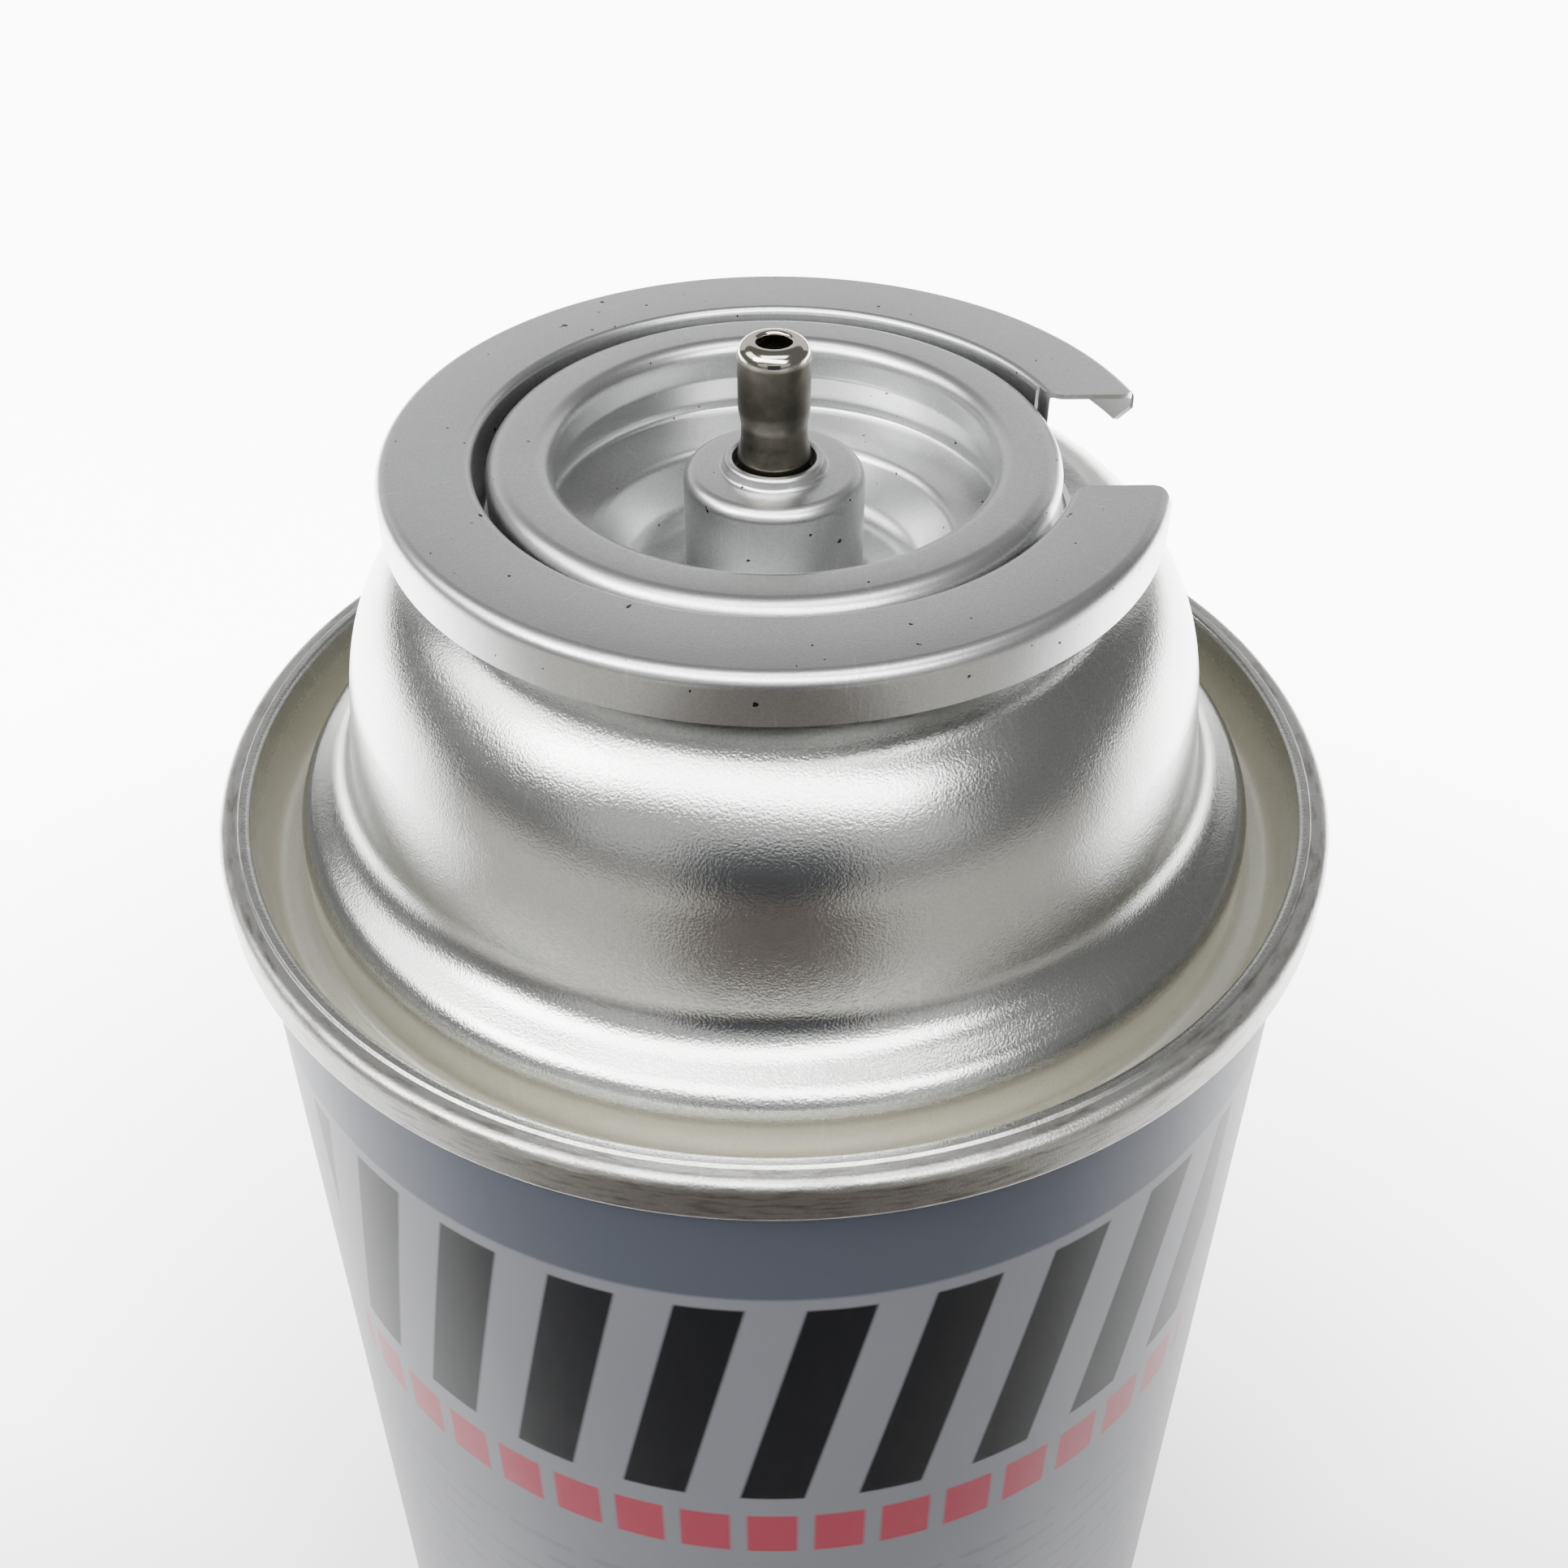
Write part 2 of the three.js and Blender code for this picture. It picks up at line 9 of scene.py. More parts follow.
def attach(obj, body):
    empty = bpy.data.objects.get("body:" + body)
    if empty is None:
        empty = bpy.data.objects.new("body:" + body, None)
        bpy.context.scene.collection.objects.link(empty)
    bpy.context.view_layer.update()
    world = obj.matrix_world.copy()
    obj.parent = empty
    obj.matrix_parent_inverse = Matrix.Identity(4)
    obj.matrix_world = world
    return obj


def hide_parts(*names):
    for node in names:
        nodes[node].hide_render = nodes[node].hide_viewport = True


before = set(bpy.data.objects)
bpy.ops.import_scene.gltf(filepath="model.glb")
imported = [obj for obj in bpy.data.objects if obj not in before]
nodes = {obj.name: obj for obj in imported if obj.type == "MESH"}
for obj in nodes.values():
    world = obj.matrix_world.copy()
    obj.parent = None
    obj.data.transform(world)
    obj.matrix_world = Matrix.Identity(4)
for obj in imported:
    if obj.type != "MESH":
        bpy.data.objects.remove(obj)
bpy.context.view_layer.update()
MM = 0.001

# Dome end. The cover of the can: drawn and stepped tinplate, seamed over the wall, with the mouth
# curled outwards into a bead. The tin is left bare, and it is scuffed where hands and the seaming
# rolls touched it.
CAN_HEIGHT = 158.0
WALL_RADIUS = 32.65
SEAM_RADIUS = WALL_RADIUS + 1.35
SEAM_HEIGHT = 3.02
SEAM_CREST = 1.75
CHUCK_TAPER = 1.0
COUNTERSINK = 4.5
SHOULDER_RADIUS = 29.25
DOME_RADIUS = 25.1
DOME_RISE = 17.1
CROWN_HEIGHT = 10.6
SEAT_RADIUS = 17.4
NECK_RADIUS = 14.6
BEAD_RADIUS = 15.52
MOUTH_RADIUS = 12.7
BEAD_TOP = CAN_HEIGHT + 20.8
BEAD_HEIGHT = 2.4
MOUTH_DEPTH = 1.6
SHOULDER_DROP = 0.15
FOOT_RISE = 1.8
FOOT_FLARE = 0.75
SEAM_LINE = 0.15
SEAM_LINE_RADIUS = SEAM_RADIUS - 1.25
LIP_UNDER_SEAM = 0.7
TURN_STEPS = 192
ARC_STEP = math.radians(9)
SMOOTH_ANGLE = math.radians(35)
MERGE_DISTANCE = 0.002 * MM
crest_radius = SEAM_RADIUS - SEAM_CREST
chuck_foot = crest_radius - CHUCK_TAPER
seat_height = CAN_HEIGHT + DOME_RISE
seam_foot = CAN_HEIGHT - SEAM_HEIGHT


def rounded(corners):
    """Points of an outline of (radius, height, rounding) corners, with an arc at each rounded one."""
    points = []
    for i, (radius, height, rounding) in enumerate(corners):
        corner = Vector((radius, height))
        if rounding == 0 or i in (0, len(corners) - 1):
            points.append(corner)
            continue
        back = (Vector(corners[i - 1][:2]) - corner).normalized()
        ahead = (Vector(corners[i + 1][:2]) - corner).normalized()
        turn = math.pi - back.angle(ahead)
        start = corner + back * rounding * math.tan(turn / 2)
        centre = corner + (back + ahead).normalized() * rounding / math.cos(turn / 2)
        way = math.copysign(1, ahead.x * back.y - ahead.y * back.x)
        steps = max(1, math.ceil(turn / ARC_STEP))
        for k in range(steps + 1):
            points.append(centre + Matrix.Rotation(way * turn * k / steps, 2) @ (start - centre))
    return points


def turned(name, outline, closed=False):
    """Draws an outline in mm, vertex by vertex from a primitive, and spins it about Z."""
    bpy.ops.object.select_all(action="DESELECT")
    start = Vector((outline[0][0], 0, outline[0][1])) * MM
    bpy.ops.mesh.primitive_plane_add(size=MM, location=start)
    piece = bpy.context.object
    piece.name = name
    bpy.ops.object.transform_apply(location=True, rotation=True, scale=True)
    bpy.ops.object.mode_set(mode="EDIT")
    bpy.ops.mesh.select_all(action="SELECT")
    bpy.ops.mesh.merge(type="CENTER")
    ring = outline + outline[:1] if closed else outline
    for here, there in zip(ring, ring[1:]):
        step = ((there[0] - here[0]) * MM, 0, (there[1] - here[1]) * MM)
        bpy.ops.mesh.extrude_vertices_move(TRANSFORM_OT_translate={"value": step})
    bpy.ops.mesh.select_all(action="SELECT")
    bpy.ops.mesh.remove_doubles(threshold=MERGE_DISTANCE)
    bpy.ops.mesh.select_all(action="SELECT")
    bpy.ops.mesh.spin(
        steps=TURN_STEPS,
        angle=2 * math.pi,
        center=(0, 0, 0),
        axis=(0, 0, 1),
        use_auto_merge=True,
    )
    bpy.ops.mesh.select_all(action="SELECT")
    bpy.ops.mesh.remove_doubles(threshold=MERGE_DISTANCE)
    bpy.ops.mesh.normals_make_consistent(inside=False)
    bpy.ops.object.mode_set(mode="OBJECT")
    bpy.ops.object.shade_smooth_by_angle(angle=SMOOTH_ANGLE)
    return piece


def linear(hex_colour):
    """An sRGB hex colour as linear red, green, blue and alpha."""
    parts = [int(hex_colour[i : i + 2], 16) / 255 for i in (1, 3, 5)]
    return [c / 12.92 if c <= 0.04045 else ((c + 0.055) / 1.055) ** 2.4 for c in parts] + [1.0]


def add_node(material, kind, out, inputs=None, **settings):
    """Adds a shader node and returns its output of that name. A socket given as an input is linked."""
    node = material.node_tree.nodes.new(kind)
    for key, value in settings.items():
        setattr(node, key, value)
    for key, value in (inputs or {}).items():
        if isinstance(value, bpy.types.NodeSocket):
            material.node_tree.links.new(value, node.inputs[key])
        else:
            node.inputs[key].default_value = value
    return node.outputs[out]


def maths(material, operation, first, second=0.0):
    """One step of arithmetic on a socket or a number."""
    return add_node(material, "ShaderNodeMath", "Value", {0: first, 1: second}, operation=operation)


def mix(material, factor, first, second):
    """Blends two colours, each a hex string or a socket."""
    first = linear(first) if isinstance(first, str) else first
    second = linear(second) if isinstance(second, str) else second
    inputs = {"Factor": factor, "A": first, "B": second}
    return add_node(material, "ShaderNodeMix", "Result", inputs, data_type="RGBA")


def between(material, value, low, high, start=0.0, end=1.0):
    """Maps a value from low..high to start..end and clamps it."""
    inputs = {"Value": value, "From Min": low, "From Max": high, "To Min": start, "To Max": end}
    return add_node(material, "ShaderNodeMapRange", "Result", inputs)


def around(material):
    """Arc length on the wall, radius and height, in mm, from the object's own coordinates."""
    place = add_node(material, "ShaderNodeTexCoord", "Object")
    split = material.node_tree.nodes.new("ShaderNodeSeparateXYZ")
    material.node_tree.links.new(place, split.inputs[0])
    x, y, z = (split.outputs[axis] for axis in "XYZ")
    angle = maths(material, "ARCTAN2", x, maths(material, "MULTIPLY", y, -1.0))
    arc = maths(material, "MULTIPLY", angle, WALL_RADIUS)
    squares = maths(material, "ADD", maths(material, "POWER", x, 2), maths(material, "POWER", y, 2))
    reach = maths(material, "SQRT", squares)
    return arc, maths(material, "DIVIDE", reach, MM), maths(material, "DIVIDE", z, MM)


def noise(material, per_mm, detail=4.0):
    """Noise with so many cells per mm on the object's own coordinates."""
    place = add_node(material, "ShaderNodeTexCoord", "Object")
    settings = {"Vector": place, "Scale": per_mm / MM, "Detail": detail}
    return add_node(material, "ShaderNodeTexNoise", "Fac", settings)


def streaks(material, parts, per_mm, detail=4.0):
    """Noise over three values in mm, with so many cells per mm along each."""
    scaled = [maths(material, "MULTIPLY", part, n) for part, n in zip(parts, per_mm)]
    inputs = dict(zip("XYZ", scaled))
    vector = add_node(material, "ShaderNodeCombineXYZ", "Vector", inputs)
    settings = {"Vector": vector, "Scale": 1.0, "Detail": detail}
    return add_node(material, "ShaderNodeTexNoise", "Fac", settings)


def finished(material, colour, metallic, roughness, height=None, depth=0.0, **extra):
    """Ends a material in one shader, with an optional relief whose depth is in mm."""
    inputs = {"Base Color": colour, "Metallic": metallic, "Roughness": roughness}
    inputs.update(extra)
    if height is not None:
        relief = {"Height": height, "Strength": 1.0, "Distance": depth * MM}
        inputs["Normal"] = add_node(material, "ShaderNodeBump", "Normal", relief)
    surface = add_node(material, "ShaderNodeBsdfPrincipled", "BSDF", inputs)
    output = material.node_tree.nodes.new("ShaderNodeOutputMaterial")
    material.node_tree.links.new(surface, output.inputs["Surface"])
    return material


def slab(material, value, middle, width, soft=0.12):
    """1 where a value lies within a width about the middle, 0 outside, with a soft ink edge."""
    off = maths(material, "ABSOLUTE", maths(material, "SUBTRACT", value, middle))
    return between(material, off, width / 2 - soft, width / 2 + soft, 1.0, 0.0)


def all_of(material, *masks):
    """The product of several masks."""
    product = masks[0]
    for mask in masks[1:]:
        product = maths(material, "MULTIPLY", product, mask)
    return product


def empty_material(name):
    """A new material with nothing in it yet."""
    material = bpy.data.materials.new(name)
    material.use_nodes = True
    material.node_tree.nodes.clear()
    return material


GRAIN_PER_MM = 7.0
CLOUDS_PER_MM = 0.12
DUST_PER_MM = 1.8
DUST_LEVEL = 0.84
LACQUER_SHARE = 0.5
DULL_GRAIN = "#A3A5A5"
DULL_CLOUD = "#A09F98"
BRIGHT_HAIR = "#E6E7E8"
DARK_SPECK = "#3B3835"
YELLOW_LACQUER = "#DBD8C6"
SCUFF_BROWN = "#6F6A62"


def tinplate(name, colour, roughness, grain_depth, specks, hairs_per_mm):
    """Tin-coated steel sheet: satin tin with a fine grain, hairline scratches and dark specks."""
    material = empty_material(name)
    arc, reach, height = around(material)
    hairlines = streaks(material, (arc, reach, height), (hairs_per_mm, 0.3, 0.3), 3.0)
    grain = noise(material, GRAIN_PER_MM, 2.0)
    cloud = noise(material, CLOUDS_PER_MM)
    dust = noise(material, DUST_PER_MM, 1.5)
    clouded = mix(material, between(material, cloud, 0.35, 0.65, 0.0, 0.15), colour, DULL_CLOUD)
    tone = mix(material, between(material, grain, 0.35, 0.65, 0.0, 0.4), clouded, DULL_GRAIN)
    worn = mix(material, between(material, hairlines, 0.64, 0.74, 0.0, 0.3), tone, BRIGHT_HAIR)
    speck_level = DUST_LEVEL - specks
    marked = mix(material, between(material, dust, speck_level, speck_level + 0.02), worn, DARK_SPECK)
    lacquer = all_of(
        material,
        between(material, reach, SHOULDER_RADIUS - 1.5, SHOULDER_RADIUS - 0.3),
        between(material, reach, chuck_foot, crest_radius, 1.0, 0.0),
        between(material, height, CAN_HEIGHT - 1.6, CAN_HEIGHT - 0.6, 1.0, 0.0),
    )
    tinted = mix(material, maths(material, "MULTIPLY", lacquer, LACQUER_SHARE), marked, YELLOW_LACQUER)
    outer = between(material, reach, SEAM_RADIUS - 1.9, SEAM_RADIUS - 1.0)
    rubbed = streaks(material, (arc, reach, height), (0.5, 2.0, 3.5), 5.0)
    scuffs = between(material, rubbed, 0.48, 0.68)
    worn_seam = maths(material, "MULTIPLY", outer, between(material, scuffs, 0.0, 1.0, 0.3, 0.75))
    scuffed = mix(material, worn_seam, tinted, SCUFF_BROWN)
    shine = maths(material, "ADD", between(material, grain, 0.3, 0.7, -0.02, 0.02), roughness)
    shine = maths(material, "ADD", maths(material, "MULTIPLY", outer, 0.14), shine)
    shine = maths(material, "ADD", maths(material, "MULTIPLY", lacquer, 0.2), shine)
    relief = maths(material, "ADD", grain, maths(material, "MULTIPLY", hairlines, 0.25))
    return finished(material, scuffed, 1.0, shine, relief, grain_depth)


CROWN_POINTS = 30
CROWN_START = 0.22
crown = []
for k in range(CROWN_POINTS):
    angle = CROWN_START + (math.pi / 2 - CROWN_START) * k / CROWN_POINTS
    reach = SEAT_RADIUS + (DOME_RADIUS - SEAT_RADIUS) * math.cos(angle)
    crown.append((reach, seat_height - CROWN_HEIGHT * (1 - math.sin(angle)), 0))
dome_outline = rounded([
    (WALL_RADIUS, seam_foot - LIP_UNDER_SEAM, 0),
    (WALL_RADIUS, seam_foot, 0.3),
    (SEAM_RADIUS, seam_foot, 0.4),
    (SEAM_RADIUS, CAN_HEIGHT - SEAM_LINE, 0.7),
    (SEAM_LINE_RADIUS + SEAM_LINE, CAN_HEIGHT - SEAM_LINE, 0.08),
    (SEAM_LINE_RADIUS, CAN_HEIGHT, 0.08),
    (crest_radius - 0.1, CAN_HEIGHT, 0.35),
    (chuck_foot, CAN_HEIGHT - COUNTERSINK, 0.85),
    (SHOULDER_RADIUS, CAN_HEIGHT - COUNTERSINK, 0.75),
    (SHOULDER_RADIUS, CAN_HEIGHT - SHOULDER_DROP, 2.4),
    (DOME_RADIUS + FOOT_FLARE, CAN_HEIGHT + FOOT_RISE, 3.4),
    *crown,
    (SEAT_RADIUS, seat_height, 0),
    (NECK_RADIUS, seat_height, 0.3),
    (NECK_RADIUS, BEAD_TOP - BEAD_HEIGHT, 0.4),
    (BEAD_RADIUS, BEAD_TOP - BEAD_HEIGHT, 0.6),
    (BEAD_RADIUS, BEAD_TOP, 0.8),
    (MOUTH_RADIUS, BEAD_TOP, 0.7),
    (MOUTH_RADIUS, BEAD_TOP - MOUTH_DEPTH, 0),
])
dome = turned("dome_end", dome_outline)
dome.data.materials.append(tinplate("bare_tinplate", "#CBCBC8", 0.21, 0.017, 0.0, 1.6))
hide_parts("can")
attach(dome, "canister")

# Wall. Tinplate sheet printed flat, rolled and welded down the back, where a strip stays bare for
# the weld. The print is silver lacquer with two blue-grey bands, leaning bars, dashes and fine
# lines, under a thin varnish. The silver, the band ink and the bar ink are darkened with painted
# shade, the shade that falls on the front of the can.
BAND_FOOT = 146.6
BAR_FOOT = 126.4
BAR_TOP = 145.6
BAR_PITCH = 7.2
BAR_WIDTH = 3.9
BAR_LEAN = 0.2
BAR_REACH = 32.4
DASH_HEIGHT = 122.3
DASH_WIDTH = 3.1
DASH_TALL = 4.2
DASH_PITCH = 4.15
LINE_PITCH = 2.3
LINE_WIDTH = 0.55
LINES_FOOT = 62.0
LINES_TOP = 116.0
LOWER_BAND = 14.0
WELD_STRIP = 2.6
WELD_BEAD = 0.4
INK_EDGE = 0.15
# Painted shade: the silver, band and bar colours are darker than the real print, for the shade on the
# front.
SILVER_IN_PAINTED_SHADE = "#5E5F64"
LIGHT_SILVER_IN_PAINTED_SHADE = "#67686D"
BAND_INK_IN_PAINTED_SHADE = "#40434C"
BAR_INK_IN_PAINTED_SHADE = "#0E0F12"
DASH_INK = "#7E3440"
LINE_INK = "#55565C"
BARE_TIN = "#C9CACB"
WELD_GREY = "#5B5C60"


def repeated(material, value, pitch):
    """Distance of a value from the middle of its cell, in a row of cells of one pitch."""
    inputs = {0: value, 1: pitch / 2, 2: -pitch / 2}
    return add_node(material, "ShaderNodeMath", "Value", inputs, operation="WRAP")


def printed_sheet():
    """Silver lacquer with a blue-grey band, dark bars, a row of red dashes and thin grey lines."""
    material = empty_material("printed_and_varnished_tinplate")
    arc, reach, height = around(material)
    front = slab(material, arc, 0.0, 2 * BAR_REACH)
    flow = noise(material, 0.05)
    silver = mix(material, flow, SILVER_IN_PAINTED_SHADE, LIGHT_SILVER_IN_PAINTED_SHADE)
    upper = between(material, height, BAND_FOOT - INK_EDGE, BAND_FOOT + INK_EDGE)
    lower = between(material, height, LOWER_BAND - INK_EDGE, LOWER_BAND + INK_EDGE, 1.0, 0.0)
    banded = mix(material, maths(material, "MAXIMUM", upper, lower), silver, BAND_INK_IN_PAINTED_SHADE)

    lean = maths(material, "MULTIPLY", maths(material, "SUBTRACT", height, BAR_FOOT), BAR_LEAN)
    leaning = maths(material, "SUBTRACT", arc, lean)
    in_bar = slab(material, repeated(material, leaning, BAR_PITCH), 0.0, BAR_WIDTH)
    bar_height = slab(material, height, (BAR_TOP + BAR_FOOT) / 2, BAR_TOP - BAR_FOOT)
    bars = all_of(material, in_bar, bar_height, front)
    barred = mix(material, bars, banded, BAR_INK_IN_PAINTED_SHADE)

    in_dash = slab(material, repeated(material, arc, DASH_PITCH), 0.0, DASH_WIDTH)
    dashes = all_of(material, in_dash, slab(material, height, DASH_HEIGHT, DASH_TALL), front)
    dashed = mix(material, dashes, barred, DASH_INK)

    in_line = slab(material, repeated(material, height, LINE_PITCH), 0.0, LINE_WIDTH)
    breaks = streaks(material, (arc, reach, height), (0.6, 0.0, 0.35), 1.0)
    broken = between(material, breaks, 0.42, 0.5)
    field = slab(material, height, (LINES_TOP + LINES_FOOT) / 2, LINES_TOP - LINES_FOOT)
    lines = all_of(material, in_line, broken, field, front)
    lined = mix(material, maths(material, "MULTIPLY", lines, 0.55), dashed, LINE_INK)

    to_front = maths(material, "ABSOLUTE", arc)
    from_weld = maths(material, "SUBTRACT", math.pi * WALL_RADIUS, to_front)
    bare = between(material, from_weld, WELD_STRIP - 0.1, WELD_STRIP, 1.0, 0.0)
    weld = between(material, from_weld, WELD_BEAD - 0.05, WELD_BEAD + 0.05, 0.8, 0.0)
    stripped = mix(material, weld, mix(material, bare, lined, BARE_TIN), WELD_GREY)
    metallic = maths(material, "MAXIMUM", between(material, bars, 0.0, 1.0, 0.15, 0.0), bare)
    ripple = noise(material, 0.12, 2.0)
    extra = {"Coat Weight": 0.04, "Coat Roughness": 0.15, "Specular IOR Level": 0.12}
    return finished(material, stripped, metallic, 0.42, ripple, 0.01, **extra)


WALL_GAP = 0.3
wall_heights = (SEAM_HEIGHT, CAN_HEIGHT / 2, seam_foot - WALL_GAP)
wall = turned("can_wall", [(WALL_RADIUS, height) for height in wall_heights])
wall.data.materials.append(printed_sheet())
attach(wall, "canister")

# Base end. The same bare tinplate as the dome, drawn concave and seamed on; the can stands on the
# crest of its seam.
BASE_RISE = 12.0
BASE_RECESS = 5.4
base_edge = chuck_foot - 0.65
BOWL_POINTS = 16
bowl = []
for k in range(BOWL_POINTS):
    share = k / BOWL_POINTS
    rise = BASE_RECESS + (BASE_RISE - BASE_RECESS) * (1 - share**2)
    bowl.append((base_edge * share, rise, 0))
base_outline = rounded([
    *bowl,
    (base_edge, BASE_RECESS, 1.3),
    (chuck_foot, BASE_RECESS - 1.3, 1.3),
    (crest_radius, 0, 0.5),
    (SEAM_RADIUS, 0, 1.2),
    (SEAM_RADIUS, SEAM_HEIGHT, 0.4),
    (WALL_RADIUS, SEAM_HEIGHT, 0.3),
    (WALL_RADIUS, SEAM_HEIGHT + LIP_UNDER_SEAM, 0),
])
base = turned("base_end", base_outline)
base.data.materials.append(dome.data.materials[0])
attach(base, "canister")

# Collar. A ring drawn from tinplate that lies on the neck of the dome, held down by the rim of the
# valve cup. Its flat top and skirt are cut by one notch, which opens out down the skirt. The sheet
# is duller than the dome, with a crisp shine only along its rounded edges.
COLLAR_RADIUS = 21.85
COLLAR_TOP = CAN_HEIGHT + 21.6
COLLAR_SKIRT = 2.85
COLLAR_INNER = 16.6
SHEET = 0.3
NOTCH_WIDTH = 10.05
NOTCH_START = 14.5
NOTCH_END = 23.0
NOTCH_FLARE = 2.3
NOTCH_AZIMUTH = math.radians(1.6)
NOTCH_FOOT = seat_height + 0.45
NOTCH_DEPTH = Vector((0, 0, 5))
FLARE_START = 19.8
FLARE_DEPTH = Vector((4, 0, 0))
INNER_CORNER = 1.3
OUTER_CORNER = 0.9


def sheet(outline, thickness):
    """An open outline and its copy one sheet thickness to its right, as one closed outline."""
    points = [Vector(point) for point in outline]
    back = []
    for i, point in enumerate(points):
        near = points[max(i - 1, 0) : i + 2]
        ways = [(after - before).normalized() for before, after in zip(near, near[1:])]
        sides = [Vector((way.y, -way.x)) for way in ways]
        middle = sum(sides, Vector((0, 0))).normalized()
        back.append(point + middle * thickness / middle.dot(sides[0]))
    return points + back[::-1]


def cut(piece, cutter):
    """Cuts a closed cutter out of a piece and deletes the cutter."""
    modifier = piece.modifiers.new("cut", "BOOLEAN")
    modifier.object = cutter
    modifier.solver = "EXACT"
    bpy.ops.object.select_all(action="DESELECT")
    piece.select_set(True)
    bpy.context.view_layer.objects.active = piece
    bpy.ops.object.modifier_apply(modifier="cut")
    bpy.data.objects.remove(cutter)


def prism(name, corners, depth, turn):
    """A closed prism: corners in mm from a primitive, filled, extruded by a vector and turned about Z."""
    bpy.ops.object.select_all(action="DESELECT")
    bpy.ops.mesh.primitive_plane_add(size=MM, location=corners[0] * MM)
    piece = bpy.context.object
    piece.name = name
    bpy.ops.object.transform_apply(location=True, rotation=True, scale=True)
    bpy.ops.object.mode_set(mode="EDIT")
    bpy.ops.mesh.select_all(action="SELECT")
    bpy.ops.mesh.merge(type="CENTER")
    for here, there in zip(corners, corners[1:] + corners[:1]):
        bpy.ops.mesh.extrude_vertices_move(TRANSFORM_OT_translate={"value": (there - here) * MM})
    bpy.ops.mesh.select_all(action="SELECT")
    bpy.ops.mesh.remove_doubles(threshold=MERGE_DISTANCE)
    bpy.ops.mesh.select_all(action="SELECT")
    bpy.ops.mesh.edge_face_add()
    bpy.ops.mesh.extrude_region_move(TRANSFORM_OT_translate={"value": depth * MM})
    bpy.ops.mesh.select_all(action="SELECT")
    bpy.ops.mesh.normals_make_consistent(inside=False)
    bpy.ops.object.mode_set(mode="OBJECT")
    piece.rotation_euler = (0, 0, turn)
    bpy.ops.object.transform_apply(location=True, rotation=True, scale=True)
    return piece


collar_face = rounded([
    (NECK_RADIUS + 0.3, seat_height + SHEET, 0),
    (COLLAR_INNER, seat_height + SHEET, 0.35),
    (COLLAR_INNER, COLLAR_TOP, 0.45),
    (COLLAR_RADIUS, COLLAR_TOP, 0.8),
    (COLLAR_RADIUS, COLLAR_TOP - COLLAR_SKIRT, 0),
])
collar = turned("collar", sheet(collar_face, SHEET), closed=True)
half = NOTCH_WIDTH / 2


def edge_at(radius, side):
    """Where a circle about Z meets a line along X at a distance to its side, in mm."""
    return math.sqrt(radius**2 - side**2)


inner_edge = COLLAR_INNER + SHEET / 2
outer_edge = COLLAR_RADIUS - SHEET / 2
notch_side = rounded([
    (NOTCH_START, half + INNER_CORNER, 0),
    (edge_at(inner_edge, half + INNER_CORNER), half + INNER_CORNER, 0),
    (edge_at(inner_edge, half), half, INNER_CORNER),
    (edge_at(outer_edge, half), half, OUTER_CORNER),
    (edge_at(outer_edge, half + OUTER_CORNER), half + OUTER_CORNER, 0),
    (NOTCH_END, half + OUTER_CORNER, 0),
])
notch_plan = [Vector((x, y, NOTCH_FOOT)) for x, y in notch_side]
notch_plan += [Vector((x, -y, NOTCH_FOOT)) for x, y in reversed(notch_side)]
cut(collar, prism("notch", notch_plan, NOTCH_DEPTH, NOTCH_AZIMUTH))
flare_top = COLLAR_TOP - SHEET - 0.1
flare_foot = COLLAR_TOP - COLLAR_SKIRT
flare = [
    (half, flare_top),
    (half + NOTCH_FLARE, flare_foot),
    (half + NOTCH_FLARE, flare_foot - 1),
    (-half - NOTCH_FLARE, flare_foot - 1),
    (-half - NOTCH_FLARE, flare_foot),
    (-half, flare_top),
]
flare_plan = [Vector((FLARE_START, y, z)) for y, z in flare]
cut(collar, prism("flare", flare_plan, FLARE_DEPTH, NOTCH_AZIMUTH))
bpy.ops.object.shade_smooth_by_angle(angle=SMOOTH_ANGLE)
matte_tin = tinplate("matte_tinplate", "#C6C7C7", 0.31, 0.005, 0.09, 2.2)
collar.data.materials.append(matte_tin)
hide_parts("collar_ring")
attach(collar, "canister")

# Valve cup. One piece drawn from the same sheet: a rim over the bead, the well that is crimped out
# under the bead, a groove, and the pedestal with a lip round the stem.
CUP_RIM = CAN_HEIGHT + 21.5
RIM_RADIUS = 15.95
WELL_RADIUS = 12.25
CRIMP_RADIUS = 13.2
CRIMP_HEIGHT = CUP_RIM - 4.2
LEDGE = CUP_RIM - 5.3
GROOVE = CUP_RIM - 9.0
PEDESTAL_RADIUS = 5.085
PLATEAU = CUP_RIM - 1.4
LIP = PLATEAU + 0.7
LIP_RADIUS = 2.3
GROOVE_RADIUS = 8.6
LEDGE_RADIUS = 10.25
CUP_SHEET = 0.28
cup_face = rounded([
    (LIP_RADIUS, PLATEAU - SHEET, 0),
    (LIP_RADIUS, LIP, 0.2),
    (LIP_RADIUS + 0.5, LIP, 0.25),
    (LIP_RADIUS + 0.62, PLATEAU, 0.3),
    (PEDESTAL_RADIUS, PLATEAU, 0.75),
    (PEDESTAL_RADIUS, GROOVE, 0.9),
    (GROOVE_RADIUS, GROOVE, 1.6),
    (LEDGE_RADIUS, LEDGE - 0.45, 0.95),
    (CRIMP_RADIUS, LEDGE + 0.5, 0.4),
    (CRIMP_RADIUS, CRIMP_HEIGHT, 0.5),
    (WELL_RADIUS, CRIMP_HEIGHT + 2, 0.9),
    (WELL_RADIUS, CUP_RIM, 1.0),
    (RIM_RADIUS, CUP_RIM, 1.1),
    (RIM_RADIUS, seat_height + SHEET, 0),
])
cup = turned("cup", sheet(cup_face, CUP_SHEET), closed=True)
cup.data.materials.append(matte_tin)
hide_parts("valve_cup")
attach(cup, "canister")

